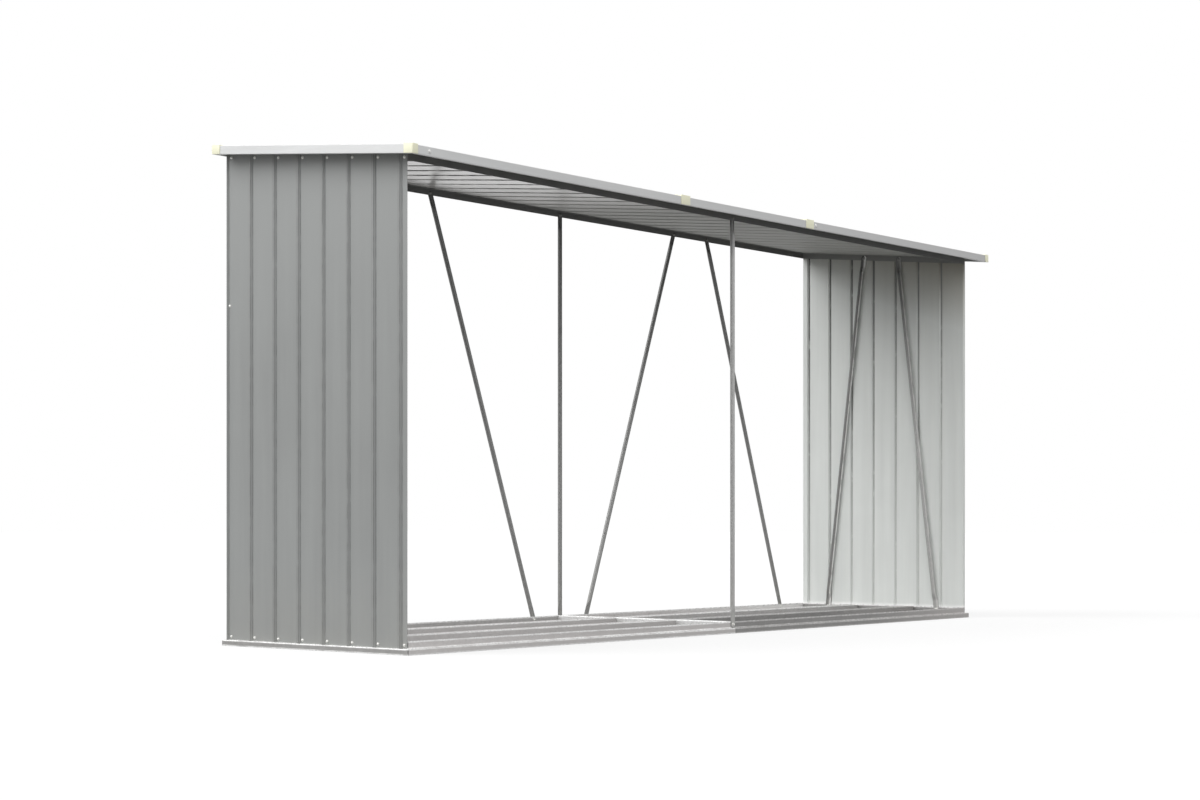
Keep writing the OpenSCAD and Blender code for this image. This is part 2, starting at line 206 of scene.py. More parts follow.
# Fades a colour to a far colour along an axis; the finishes use it for painted light and painted shade.
def axisFadeGroup():
    tree, given, result = newGroup(
        "axisFade", "ShaderNodeTree",
        {"Vector": "Vector", "Axis": "Vector", "Colour": "Color", "Far Colour": "Color",
         "From": "Float", "To": "Float"},
        {"Colour": "Color", "Mask": "Float"})
    along = addNode(tree, "ShaderNodeVectorMath", {0: given["Vector"], 1: given["Axis"]},
                    operation="DOT_PRODUCT").outputs["Value"]
    mask = addNode(tree, "ShaderNodeMapRange", {
        "Value": along, "From Min": given["From"], "From Max": given["To"]}).outputs[0]
    tree.links.new(blend(tree, mask, given["Colour"], given["Far Colour"]), result["Colour"])
    tree.links.new(mask, result["Mask"])
    return tree


coatVariation = coatVariationGroup()
zincSpangle = zincSpangleGroup()
edgePolishAndPaintedLight = edgePolishAndPaintedLightGroup()
settledDustAndPaintedHighlight = settledDustAndPaintedHighlightGroup()
axisFade = axisFadeGroup()


def makeFinish(name, look):
    material = bpy.data.materials.new(name)
    material.use_nodes = True
    tree = material.node_tree
    shader = tree.nodes["Principled BSDF"]
    place = addNode(tree, "ShaderNodeTexCoord").outputs["Object"]
    # The fold mark carries polish and wear, and also painted highlights and painted shade.
    paintedLightAndWearMask = addNode(tree, "ShaderNodeAttribute", attribute_name=look["polishAndPaintedLightAlong"]).outputs["Fac"]
    coat = addNode(tree, "ShaderNodeGroup", {
        "Vector": place, "Stretch": look["stretch"], "Colour": look["colour"], "Shade": look["shade"],
        "Mottle Size": look["mottle"], "Streak Size": look["streak"], "Grain Size": look["grain"]},
        node_tree=coatVariation)
    colour, tone = coat.outputs["Colour"], coat.outputs["Tone"]
    if "crystal" in look:
        spangle = addNode(tree, "ShaderNodeGroup", {
            "Vector": place, "Colour": colour, "Crystal Size": look["crystal"], "Contrast": look["contrast"]},
            node_tree=zincSpangle)
        colour, tone = spangle.outputs["Colour"], spangle.outputs["Tone"]
    # Painted light and painted shade: the coat made lighter or darker along an axis.
    if "tint" in look:
        tint = addNode(tree, "ShaderNodeGroup", {"Vector": place, "Colour": colour, **look["tint"]},
                       node_tree=axisFade)
        colour = tint.outputs["Colour"]
    polishAndPaintedLight = look["polishAndPaintedLight"]
    # Painted shade on the fold lines: the fold colour made darker or lighter along an axis.
    if "paintedFoldShadeTint" in look:
        paintedFoldShadeTint = addNode(tree, "ShaderNodeGroup", {
            "Vector": place, "Colour": polishAndPaintedLight, **look["paintedFoldShadeTint"]}, node_tree=axisFade)
        polishAndPaintedLight = paintedFoldShadeTint.outputs["Colour"]
    polishAndPaintedLightMix = addNode(tree, "ShaderNodeGroup", {
        "Vector": place, "Colour": colour, "Polish And Painted Light": polishAndPaintedLight, "Worn": paintedLightAndWearMask, "Wear": look["wear"]},
        node_tree=edgePolishAndPaintedLight)
    # Settled dust near the floor; on the inner coat this band is a painted highlight.
    dust = addNode(tree, "ShaderNodeGroup", {
        "Vector": place, "Colour": polishAndPaintedLightMix.outputs["Colour"], "Dust": look["dust"],
        "Rise": look["dustAndPaintedHighlightRise"], "Amount": look["dustAndPaintedHighlightAmount"]}, node_tree=settledDustAndPaintedHighlight)
    colour = dust.outputs["Colour"]
    gloss = addNode(tree, "ShaderNodeMapRange", {
        "Value": tone, "To Min": look["roughness"][0], "To Max": look["roughness"][1], **toneRange})
    rough = maths(tree, "MULTIPLY_ADD", polishAndPaintedLightMix.outputs["Mask"], look["wornRoughness"], gloss.outputs[0])
    # Painted light and painted shade: the finished colour fades along an axis, and the roughness with it.
    if "fade" in look:
        fade = addNode(tree, "ShaderNodeGroup", {"Vector": place, "Colour": colour, **look["fade"]},
                       node_tree=axisFade)
        colour = fade.outputs["Colour"]
        rough = maths(tree, "MULTIPLY_ADD", fade.outputs["Mask"], look["farRoughness"], rough)
    tree.links.new(colour, shader.inputs["Base Color"])
    tree.links.new(rough, shader.inputs["Roughness"])
    bump = addNode(tree, "ShaderNodeBump", {
        "Height": coat.outputs["Grain"], "Strength": look["grainStrength"], "Distance": look["grainDepth"]})
    tree.links.new(bump.outputs[0], shader.inputs["Normal"])
    shader.inputs["Metallic"].default_value = look["metallic"]
    shader.inputs["Specular IOR Level"].default_value = look["specular"]
    return material


plainCoat = {
    "stretch": (1.0, 1.0, 0.05),
    "shade": 0.10,
    "mottle": 400 * mm,
    "streak": 35 * mm,
    "grain": 2.5 * mm,
    "grainDepth": 0.06 * mm,
    "grainStrength": 0.4,
    "wear": 0.5,
    "polishAndPaintedLightAlong": "bend",  # mesh attribute that marks the folds, where polish, painted highlights and painted shade go
    "dust": srgb(176, 172, 162),
    "dustAndPaintedHighlightRise": 260 * mm,
    "dustAndPaintedHighlightAmount": 0.25,
    "metallic": 0.0,
    "specular": 0.4,
    "wornRoughness": 0.0,
    "farRoughness": 0.0,
}
zincCoat = {
    **plainCoat,
    # Bright fold lines: partly polished folds, partly painted highlight.
    "polishAndPaintedLight": srgb(244, 244, 243),
    "stretch": (0.06, 0.06, 1.0),
    "crystal": 9 * mm,
    "contrast": 0.14,
    "roughness": (0.36, 0.46),
    "wear": 1.4,
    "wornRoughness": -0.1,
    "metallic": 0.3,
    "dustAndPaintedHighlightRise": 45 * mm,
    "dustAndPaintedHighlightAmount": 0.12,
}
tubeCoat = {
    **plainCoat,
    "crystal": 6 * mm,
    "contrast": 0.16,
    "roughness": (0.36, 0.5),
    "metallic": 0.25,
}
looks = {
    # Wall coat: the darker fold colour paints shade on the rib flanks, and the coat is painted lighter
    # towards the top.
    "wallCoat": {**plainCoat, "colour": srgb(148, 150, 149), "polishAndPaintedLight": srgb(94, 95, 94),
                 "roughness": (0.42, 0.55), "wear": 0.6,
                 "tint": {"Axis": up, "Far Colour": srgb(159, 161, 160), "From": 0.9, "To": 1.45}},
    # Inner coat: the crest mark paints shade in the rib grooves, darker towards the top and back; the
    # near-white band at the foot is a painted highlight; the coat is painted darker and warmer towards the
    # top front, as shade under the roof.
    "innerCoat": {**plainCoat, "colour": srgb(227, 230, 227), "polishAndPaintedLight": srgb(206, 208, 205),
                  "roughness": (0.4, 0.5), "wear": 1.7, "polishAndPaintedLightAlong": "crest", "dust": srgb(255, 255, 254),
                  "dustAndPaintedHighlightRise": 52 * mm, "dustAndPaintedHighlightAmount": 7.0,
                  "tint": {"Axis": up - deep * 0.35, "Far Colour": srgb(172, 168, 156),
                           "From": 1.26, "To": 1.54},
                  "paintedFoldShadeTint": {"Axis": up + deep * 1.2, "Far Colour": srgb(90, 90, 88),
                                   "From": 0.3, "To": 1.7}},
    # Roof inner coat: dark fold bands paint shade beside the ribs and fade out towards +X; the coat is
    # painted lighter and glossier towards -X as a reflection, darker and rougher towards +X.
    "roofInnerCoat": {**plainCoat, "colour": srgb(246, 243, 240), "polishAndPaintedLight": srgb(60, 60, 59),
                      "stretch": (1.0, 0.05, 1.0), "roughness": (0.16, 0.26), "wear": 1.0,
                      "wornRoughness": 0.5, "farRoughness": 0.38, "dustAndPaintedHighlightAmount": 0.0,
                      "paintedFoldShadeTint": {"Axis": right, "Far Colour": srgb(214, 212, 209),
                                       "From": -0.95, "To": -0.25},
                      "fade": {"Axis": right, "Far Colour": srgb(191, 191, 187), "From": -0.82, "To": 0.0}},
    # Roof coat: the darker fold colour paints shade in bands beside the ribs.
    "roofCoat": {**plainCoat, "colour": srgb(148, 150, 149), "polishAndPaintedLight": srgb(112, 113, 112),
                 "stretch": (1.0, 0.05, 1.0), "roughness": (0.42, 0.55), "dustAndPaintedHighlightAmount": 0.0},
    # Trim coat: the light fold colour is a painted highlight on the folds, and the coat is painted darker
    # towards +X.
    "trimCoat": {**plainCoat, "colour": srgb(227, 228, 228), "polishAndPaintedLight": srgb(250, 250, 250),
                 "stretch": (0.05, 0.05, 1.0), "roughness": (0.3, 0.42), "wear": 0.6, "dustAndPaintedHighlightAmount": 0.0,
                 "fade": {"Axis": right, "Far Colour": srgb(198, 198, 198), "From": -1.6, "To": 1.6}},
    "beamSteel": {**plainCoat, "colour": srgb(118, 118, 117), "polishAndPaintedLight": srgb(128, 128, 126),
                  "stretch": (0.05, 0.05, 1.0), "roughness": (0.45, 0.6), "dustAndPaintedHighlightAmount": 0.0},
    "topRailSteel": {**plainCoat, "colour": srgb(148, 148, 146), "polishAndPaintedLight": srgb(160, 160, 158),
                     "stretch": (0.05, 0.05, 1.0), "roughness": (0.45, 0.6), "dustAndPaintedHighlightAmount": 0.0},
    # Painted shade: darker towards +X and towards the floor.
    "railZinc": {**zincCoat, "colour": srgb(208, 205, 204),
                 "tint": {"Axis": right - up * 8, "Far Colour": srgb(190, 187, 186),
                          "From": -2.4, "To": -0.4}},
    # Painted light: lighter towards +X.
    "backZinc": {**zincCoat, "colour": srgb(208, 205, 204),
                 "fade": {"Axis": right, "Far Colour": srgb(250, 249, 248), "From": 0.6, "To": 1.6}},
    # Lit and shaded copies of the same zinc, by where each part stands: painted shade in the darker ones,
    # painted highlight in the lightest; the darkest turns lighter towards +X, painted light.
    "zincPaintedLightShade": {**zincCoat, "colour": srgb(180, 178, 177)},
    "zincPaintedShade": {**zincCoat, "colour": srgb(150, 149, 148)},
    "zincPaintedDeepShade": {**zincCoat, "colour": srgb(134, 133, 132), "polishAndPaintedLight": srgb(190, 189, 188),
                 "fade": {"Axis": right, "Far Colour": srgb(186, 182, 180), "From": 0.9, "To": 2.0}},
    "zincPaintedHighlight": {**zincCoat, "colour": srgb(224, 224, 223)},
    # Tube finishes: lit and shaded copies of one zinc; the tint paints shade towards the top under the roof,
    # and the fold colour is a painted highlight on each tube's front side.
    "postZinc": {**tubeCoat, "colour": srgb(172, 172, 171), "polishAndPaintedLight": srgb(200, 200, 198),
                 "tint": {"Axis": up, "Far Colour": srgb(84, 84, 83), "From": 1.27, "To": 1.4}},
    "strutZinc": {**tubeCoat, "colour": srgb(142, 142, 141), "polishAndPaintedLight": srgb(170, 170, 168),
                  "tint": {"Axis": up, "Far Colour": srgb(94, 94, 93), "From": 0.5, "To": 1.45}},
    "frontBraceZinc": {**tubeCoat, "colour": srgb(172, 172, 171), "polishAndPaintedLight": srgb(212, 212, 210),
                       "wear": 1.0,
                       "tint": {"Axis": up, "Far Colour": srgb(118, 118, 117), "From": 0.6, "To": 1.3}},
    "rearBraceZinc": {**tubeCoat, "colour": srgb(128, 128, 127), "polishAndPaintedLight": srgb(238, 238, 236),
                      "wear": 1.3,
                      "tint": {"Axis": up, "Far Colour": srgb(98, 98, 97), "From": 1.0, "To": 1.45}},
    "capPlastic": {**plainCoat, "colour": srgb(255, 254, 226), "polishAndPaintedLight": srgb(252, 252, 240),
                   "roughness": (0.38, 0.48), "shade": 0.05, "dustAndPaintedHighlightAmount": 0.0},
    "screwZinc": {**plainCoat, "colour": srgb(226, 226, 222), "polishAndPaintedLight": srgb(250, 250, 248),
                  "roughness": (0.28, 0.4), "metallic": 0.5, "dustAndPaintedHighlightAmount": 0.1},
    "boltZinc": {**plainCoat, "colour": srgb(124, 124, 122), "polishAndPaintedLight": srgb(160, 160, 158),
                 "roughness": (0.3, 0.42), "metallic": 0.5, "dustAndPaintedHighlightAmount": 0.1},
    "washerWhite": {**plainCoat, "colour": srgb(248, 248, 246), "polishAndPaintedLight": srgb(252, 252, 250),
                    "roughness": (0.4, 0.5), "shade": 0.05, "dustAndPaintedHighlightAmount": 0.1},
}
finishes = {name: makeFinish(name, look) for name, look in looks.items()}
print("finishes made:", len(finishes))


# Folded sheet: a bent profile drawn along a length

largestEdge = 0.3  # share of a flat that the strip beside a bend may take
crestFall = 4  # how fast the crest mark falls down the flanks of a rib; the inner coat paints shade along this mark
weldGap = 0.01 * mm
sharpAngle = math.radians(35)


def bentPath(corners, bend):
    spots = [Vector(c) for c in corners]
    arcs = []
    for before, corner, after in zip(spots, spots[1:], spots[2:]):
        back, ahead = (before - corner).normalized(), (after - corner).normalized()
        turn = math.pi - back.angle(ahead)
        middle = corner + (back + ahead).normalized() * (bend["radius"] / math.cos(turn / 2))
        arm = corner + back * (bend["radius"] * math.tan(turn / 2)) - middle
        swing = math.copysign(turn, back.y * ahead.x - back.x * ahead.y)
        turns = [Matrix.Rotation(swing * k / bend["steps"], 2) for k in range(bend["steps"] + 1)]
        arcs.append([middle + spin @ arm for spin in turns])
    starts = [spots[0]] + [arc[-1] for arc in arcs]
    ends = [arc[0] for arc in arcs] + [spots[-1]]
    path = []
    for i, (start, end) in enumerate(zip(starts, ends)):
        stretch = (end - start).length
        edge = min(bend["support"] / stretch, largestEdge)
        parts = max(1, round(stretch / bend["panStep"]))
        shares = [0.0] + [edge + (1 - 2 * edge) * k / parts for k in range(parts + 1)] + [1.0]
        narrow = stretch < bend["support"]
        # With brightEnd set, the last edge of the path is marked for a painted highlight.
        brightFrom = 1.0
        if i == len(arcs) and bend["brightEnd"]:
            brightFrom = 1 - edge
            shares.insert(-2, 1 - 2 * edge)
        for share in shares:
            atStart = share == 0.0 and i > 0
            atEnd = share >= brightFrom and (i < len(arcs) or bend["brightEnd"])
            atBend = narrow or atStart or atEnd
            pan = math.sin(math.pi * share) if parts > 1 else 0.0
            path.append((start.lerp(end, share), float(atBend), pan))
        if i < len(arcs):
            path += [(spot, 1.0, 0.0) for spot in arcs[i][1:-1]]
    return path


def profileMesh(name, path):
    mesh = bpy.data.meshes.new(name)
    spots, bends, pans = zip(*path)
    edges = [(i, i + 1) for i in range(len(spots) - 1)]
    mesh.from_pydata([(spot.x, spot.y, 0.0) for spot in spots], edges, [])
    low, high = min(spot.y for spot in spots), max(spot.y for spot in spots)
    columns = {
        "bend": bends,
        "pan": pans,
        "crest": [max(0.0, 1 - crestFall * (high - spot.y) / (high - low)) for spot in spots],
    }
    for label, values in columns.items():
        mesh.attributes.new(label, "FLOAT", "POINT").data.foreach_set("value", values)
    return mesh


def foldedSheetTree():
    tree, given, result = newGroup(
        "foldedSheet", "GeometryNodeTree",
        {"Profile": "Geometry", "Length": "Float", "Rows": "Int", "Thickness": "Float",
         "Start Slope": "Float", "End Slope": "Float", "Dent Height": "Float", "Dent Size": "Float",
         "Seed": "Float", "Outer Finish": "Material", "Inner Finish": "Material"},
        {"Sheet": "Geometry"})
    profile = addNode(tree, "GeometryNodeMeshToCurve", {"Mesh": given["Profile"]})
    end = addNode(tree, "ShaderNodeCombineXYZ", {"Z": given["Length"]})
    line = addNode(tree, "GeometryNodeCurvePrimitiveLine", {"End": end.outputs[0]})
    rows = addNode(tree, "GeometryNodeResampleCurve", {"Curve": line.outputs[0], "Count": given["Rows"]})
    drawn = addNode(tree, "GeometryNodeCurveToMesh", {
        "Curve": rows.outputs[0], "Profile Curve": profile.outputs[0]})
    place = addNode(tree, "GeometryNodeInputPosition").outputs[0]
    across, out, along = addNode(tree, "ShaderNodeSeparateXYZ", {0: place}).outputs
    # cut both ends to their slopes
    slopes = maths(tree, "ADD", given["Start Slope"], given["End Slope"])
    lost = maths(tree, "DIVIDE", maths(tree, "MULTIPLY", slopes, across), given["Length"])
    kept = maths(tree, "SUBTRACT", 1.0, lost)
    started = maths(tree, "MULTIPLY", given["Start Slope"], across)
    cut = maths(tree, "MULTIPLY_ADD", along, kept, started)
    # shallow waves in the flat pans
    waves = addNode(tree, "ShaderNodeTexNoise", {
        "Vector": place, "W": given["Seed"], "Scale": maths(tree, "DIVIDE", 1.0, given["Dent Size"]),
        **noise["waves"]}, noise_dimensions="4D")
    pan = addNode(tree, "GeometryNodeInputNamedAttribute", {"Name": "pan"}, data_type="FLOAT").outputs[0]
    swell = maths(tree, "MULTIPLY", maths(tree, "SUBTRACT", waves.outputs[0], 0.5), given["Dent Height"])
    dented = maths(tree, "MULTIPLY_ADD", maths(tree, "MULTIPLY", swell, noiseGain), pan, out)
    spot = addNode(tree, "ShaderNodeCombineXYZ", {"X": across, "Y": dented, "Z": cut})
    outer = addNode(tree, "GeometryNodeSetPosition", {
        "Geometry": drawn.outputs[0], "Position": spot.outputs[0]})
    thick = addNode(tree, "GeometryNodeExtrudeMesh", {
        "Mesh": outer.outputs[0], "Offset Scale": given["Thickness"], "Individual": False})
    turned = addNode(tree, "GeometryNodeFlipFaces", {"Mesh": outer.outputs[0]})
    joined = addNode(tree, "GeometryNodeJoinGeometry")
    tree.links.new(thick.outputs["Mesh"], joined.inputs[0])
    tree.links.new(turned.outputs[0], joined.inputs[0])
    closed = addNode(tree, "GeometryNodeMergeByDistance", {
        "Geometry": joined.outputs[0], "Distance": weldGap})
    real = addNode(tree, "GeometryNodeRealizeInstances", {"Geometry": closed.outputs[0]})
    outerSide = addNode(tree, "GeometryNodeSetMaterial", {
        "Geometry": real.outputs[0], "Material": given["Outer Finish"]})
    innerSide = addNode(tree, "GeometryNodeSetMaterial", {
        "Geometry": outerSide.outputs[0], "Selection": thick.outputs["Top"],
        "Material": given["Inner Finish"]})
    tree.links.new(innerSide.outputs[0], result["Sheet"])
    return tree


def meshFromTree(source, tree, values):
    holder = bpy.data.objects.new(source.name, source)
    bpy.context.scene.collection.objects.link(holder)
    modifier = holder.modifiers.new("nodes", "NODES")
    modifier.node_group = tree
    sockets = {s.name: s.identifier for s in tree.interface.items_tree if s.in_out == "INPUT"}
    for label, value in values.items():
        modifier[sockets[label]] = value
    bpy.context.view_layer.update()
    made = holder.evaluated_get(bpy.context.evaluated_depsgraph_get())
    mesh = bpy.data.meshes.new_from_object(made)
    holder.modifiers.remove(modifier)
    bpy.data.objects.remove(holder)
    return mesh


def addPiece(name, mesh, node=None):
    piece = bpy.data.objects.new(name, mesh)
    bpy.context.scene.collection.objects.link(piece)
    mesh.shade_smooth()
    mesh.set_sharp_from_angle(angle=sharpAngle)
    if node:
        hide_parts(node)
    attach(piece, "root")


def axesAt(origin, across, out, along):
    return Matrix.Translation(origin) @ Matrix((across, out, along)).transposed().to_4x4()


def camel(node):
    first, *rest = node.split("_")
    return first + "".join(word.capitalize() for word in rest)


foldedSheet = foldedSheetTree()
seeds = itertools.count(1)


def foldSheet(node, corners, kind, length, placing, outer, inner, slopes=(0.0, 0.0)):
    path = bentPath(corners, kind["bend"])
    mesh = meshFromTree(profileMesh(camel(node), path), foldedSheet, {
        "Length": length,
        "Rows": max(2, round(length / kind["rowStep"]) + 1),
        "Thickness": kind["sheet"],
        "Start Slope": slopes[0],
        "End Slope": slopes[1],
        "Dent Height": kind["dentHeight"],
        "Dent Size": kind["dentSize"],
        "Seed": float(next(seeds)),
        "Outer Finish": finishes[outer],
        "Inner Finish": finishes[inner]})
    mesh.transform(placing)
    addPiece(camel(node), mesh, node)


# Ribbed walls and roof

ribbed = {
    "sheet": 0.6 * mm,
    "ribBase": 16 * mm,
    "ribCrest": 6 * mm,
    "ribHeight": 6 * mm,
    "bend": {"radius": 1.6 * mm, "steps": 3, "support": 1.6 * mm, "panStep": 14 * mm, "brightEnd": False},
    "rowStep": 35 * mm,
    "dentHeight": 0.45 * mm,
    "dentSize": 260 * mm,
}
wall = {**ribbed, "strip": 28 * mm, "pans": 7, "topGap": 0.4 * mm}
roof = {
    **ribbed,
    # The wide support makes wide fold bands beside the roof ribs, which carry the roof coats' painted shade.
    "bend": {**ribbed["bend"], "support": 12 * mm},
    "pans": 7,
    "edge": 1.4 * mm,
    "gap": 0.4 * mm,
    "sheets": 4,
}


def ribCorners(middle, kind):
    low, high = kind["sheet"], kind["sheet"] + kind["ribHeight"]
    foot, crest = kind["ribBase"] / 2, kind["ribCrest"] / 2
    return [(middle - foot, low), (middle - crest, high), (middle + crest, high), (middle + foot, low)]


def wallRibs(width):
    pitch = (width - wall["strip"]) / wall["pans"]
    return [wall["strip"] + i * pitch for i in range(wall["pans"])]


def makeWall(node, left):
    low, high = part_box(node)
    width = high.y - low.y
    flank = (wall["ribBase"] - wall["ribCrest"]) / 2
    corners = [(0.0, wall["sheet"])]
    for rib in wallRibs(width):
        corners += ribCorners(rib, wall)
    corners += [(width - flank, wall["sheet"]), (width, wall["sheet"] + wall["ribHeight"])]
    start = Vector((high.x, low.y, low.z)) if left else Vector((low.x, high.y, low.z))
    side = 1 if left else -1
    length = roofUnder(start.y) - wall["topGap"] - low.z
    foldSheet(node, corners, wall, length,
              axesAt(start, deep * side, right * -side, up),
              "wallCoat", "innerCoat", (0.0, -rise * side))


makeWall("left_wall", True)
makeWall("right_wall", False)


def makeRoofSheet(index):
    node = f"roof_sheet_{index + 1}"
    cover = 2 * roofReach / roof["sheets"]
    pitch = cover / roof["pans"]
    first, last = index == 0, index == roof["sheets"] - 1
    corners = [(roof["edge"] - roofReach, roof["sheet"])] if first else []
    for i in range(1 if first else 0, roof["pans"]):
        corners += ribCorners(index * cover - roofReach + i * pitch, roof)
    end = roof["edge"] if last else roof["ribBase"] / 2 + roof["gap"]
    corners.append(((index + 1) * cover - roofReach - end, roof["sheet"]))
    length = (roofBack - roofFront) / math.cos(slope) - 2 * roof["edge"]
    start = Vector((0, roofFront, eaveHeight)) + slopeUp * (length + roof["edge"])
    foldSheet(node, corners, roof, length,
              axesAt(start, right, roofNormal, -slopeUp), "roofCoat", "roofInnerCoat")


for sheetIndex in range(roof["sheets"]):
    makeRoofSheet(sheetIndex)
print("walls and roof made")


# Base of folded galvanised rails

rail = {
    "sheet": 1.2 * mm,
    "foot": 38 * mm,
    "skirt": 18 * mm,
    "ledge": 12 * mm,
    "height": 40 * mm,
    # The bright end marks the web's top edge, which takes a painted highlight.
    "bend": {"radius": 1.8 * mm, "steps": 4, "support": 2.8 * mm, "panStep": 30 * mm, "brightEnd": True},
    "rowStep": 120 * mm,
    "dentHeight": 0.2 * mm,
    "dentSize": 300 * mm,
}
railSection = [
    (rail["foot"], 0.0), (0.0, 0.0), (0.0, rail["skirt"]),
    (rail["ledge"], rail["skirt"]), (rail["ledge"], rail["height"])]
channel = {
    **rail,
    "runnerWidth": 40 * mm,
    "crossWidth": 30 * mm,
}


def makeRail(node, corner, inward, mitres, outer, inner):
    low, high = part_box(node)
    along = inward.cross(up)
    start = Vector((low.x if corner[0] < 0 else high.x, low.y if corner[1] < 0 else high.y, low.z))
    length = abs((high - low).dot(along))
    foldSheet(node, railSection, rail, length, axesAt(start, inward, up, along),
              outer, inner, mitres)


# Each rail takes a lit or shaded copy of the same zinc: painted light and shade.
makeRail("front_rail_left", (-1, -1), deep, (1.0, 0.0), "railZinc", "railZinc")
makeRail("front_rail_right", (-1, -1), deep, (0.0, 1.0), "zincPaintedDeepShade", "zincPaintedDeepShade")
makeRail("back_rail_left", (1, 1), -deep, (0.0, 1.0), "zincPaintedLightShade", "zincPaintedLightShade")
makeRail("back_rail_right", (1, 1), -deep, (1.0, 0.0), "zincPaintedLightShade", "backZinc")
makeRail("left_rail", (-1, 1), right, (1.0, 1.0), "zincPaintedShade", "zincPaintedShade")
makeRail("right_rail", (1, -1), -right, (1.0, 1.0), "zincPaintedShade", "zincPaintedShade")


def channelSection(width, height):
    side, low = width / 2, channel["sheet"]
    return [(-side, low), (-side, height), (side, height), (side, low)]


def makeRunner(node, finish):
    low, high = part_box(node)
    start = Vector((low.x, (low.y + high.y) / 2, 0))
    foldSheet(node, channelSection(channel["runnerWidth"], high.z), channel,
              high.x - low.x, axesAt(start, deep, up, right), finish, finish)


# Each runner and the cross member take a lit or shaded copy of the same zinc: painted light and shade.
makeRunner("front_runner_left", "railZinc")
makeRunner("front_runner_right", "zincPaintedDeepShade")
makeRunner("rear_runner_left", "railZinc")
makeRunner("rear_runner_right", "zincPaintedLightShade")

crossLow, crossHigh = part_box("cross_member")
foldSheet("cross_member", channelSection(channel["crossWidth"], crossHigh.z), channel,
          crossHigh.y - crossLow.y, axesAt(Vector((0, crossHigh.y, 0)), right, up, -deep),
          "zincPaintedHighlight", "zincPaintedHighlight")
print("base made")


# Beams and trims of the roof edge

beam = {
    "sheet": 1.2 * mm,
    "bend": {"radius": 1.8 * mm, "steps": 4, "support": 0.8 * mm, "panStep": 30 * mm, "brightEnd": False},
    "rowStep": 150 * mm,
    "dentHeight": 0.0,
    "dentSize": 300 * mm,
}
for beamNode in ("front_beam_left", "front_beam_right", "back_beam_left", "back_beam_right"):
    low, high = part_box(beamNode)
    fall = (high.y - low.y) * rise
    if beamNode.startswith("front"):
        beamSection = [(low.y, low.z), (low.y, high.z - fall), (high.y, high.z)]
    else:
        beamSection = [(low.y, high.z - fall), (high.y, high.z), (high.y, low.z)]
    foldSheet(beamNode, beamSection, beam, high.x - low.x,
              axesAt(Vector((low.x, 0, 0)), deep, up, right), "beamSteel", "beamSteel")
for topRail in ("left_top_rail", "right_top_rail"):
    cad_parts[topRail].data.materials.clear()
    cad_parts[topRail].data.materials.append(finishes["topRailSteel"])

boxed = [
    (trim["box"], trim["box"] * rise - trim["seatGap"]), (trim["box"], trim["box"] * rise - trim["drop"]),
    (0.0, -trim["drop"]), (0.0, trim["height"] - trim["drop"]),
    (trim["lip"], trim["lip"] * rise + trim["height"] - trim["drop"])]
angled = [
    (-trim["lip"], trim["height"] - trim["drop"] - trim["lip"] * rise),
    (0.0, trim["height"] - trim["drop"]), (0.0, -trim["drop"])]
level = [
    (trim["box"], -trim["seatGap"]), (trim["box"], -trim["drop"]), (0.0, -trim["drop"]),
    (0.0, trim["height"] - trim["drop"]), (trim["lip"], trim["height"] - trim["drop"])]
for part in ("left", "middle", "right"):
    for edge, edgeSection, edgeY in (("front", boxed, roofFront), ("back", angled, roofBack)):
        trimNode = f"{edge}_trim_{part}"
        low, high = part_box(trimNode)
        start = Vector((low.x, edgeY, roofUnder(edgeY)))
        foldSheet(trimNode, edgeSection, trim, high.x - low.x,
                  axesAt(start, deep, up, right), "trimCoat", "trimCoat")
for trimNode, side in (("left_trim", 1), ("right_trim", -1)):
    low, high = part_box(trimNode)
    startX, startY = (low.x, high.y) if side > 0 else (high.x, low.y)
    start = Vector((startX, startY, roofUnder(startY)))
    downhill = Vector((0, -side, -side * rise))
    foldSheet(trimNode, level, trim, high.y - low.y,
              axesAt(start, right * side, up, downhill), "trimCoat", "trimCoat")
print("beams and trims made")


# Tubes with flattened, bolted ends

tube = {
    "diameter": 16 * mm,
    "flatWidth": 23 * mm,
    "flatThickness": 2.4 * mm,
    "flatLength": 32 * mm,
    "swageLength": 34 * mm,
    "flatPower": 0.4,  # squareness of the flat's section; 1 is an ellipse
    "tipWidth": 0.6 * mm,
    "sides": 24,
    # how far a ring's side must face front to take the painted highlight
    "frontShare": 0.75,
    "endSteps": 6,
    "swageSteps": 8,
}


def tubeStations():
    radius, flat, swage = tube["flatWidth"] / 2, tube["flatLength"], tube["swageLength"]
    stations = []
    for k in range(tube["endSteps"] + 1):
        angle = math.pi / 2 * k / tube["endSteps"]
        width = max(radius * math.sin(angle), tube["tipWidth"])
        stations.append((-radius * math.cos(angle), width, 0.0))
    stations.append((flat, radius, 0.0))
    for k in range(1, tube["swageSteps"] + 1):
        share = k / tube["swageSteps"]
        eased = share * share * (3 - 2 * share)
        stations.append((flat + swage * share, radius + (tube["diameter"] / 2 - radius) * eased, eased))
    return stations


def tubeRing(width, eased):
    thin = tube["flatThickness"] / 2
    half = thin + (tube["diameter"] / 2 - thin) * eased
    power = tube["flatPower"] + (1 - tube["flatPower"]) * eased
    ring = []
    for k in range(tube["sides"]):
        angle = 2 * math.pi * k / tube["sides"]
        c, s = math.cos(angle), math.sin(angle)
        ring.append((math.copysign(abs(c) ** power, c) * width, math.copysign(abs(s) ** power, s) * half))
    return ring


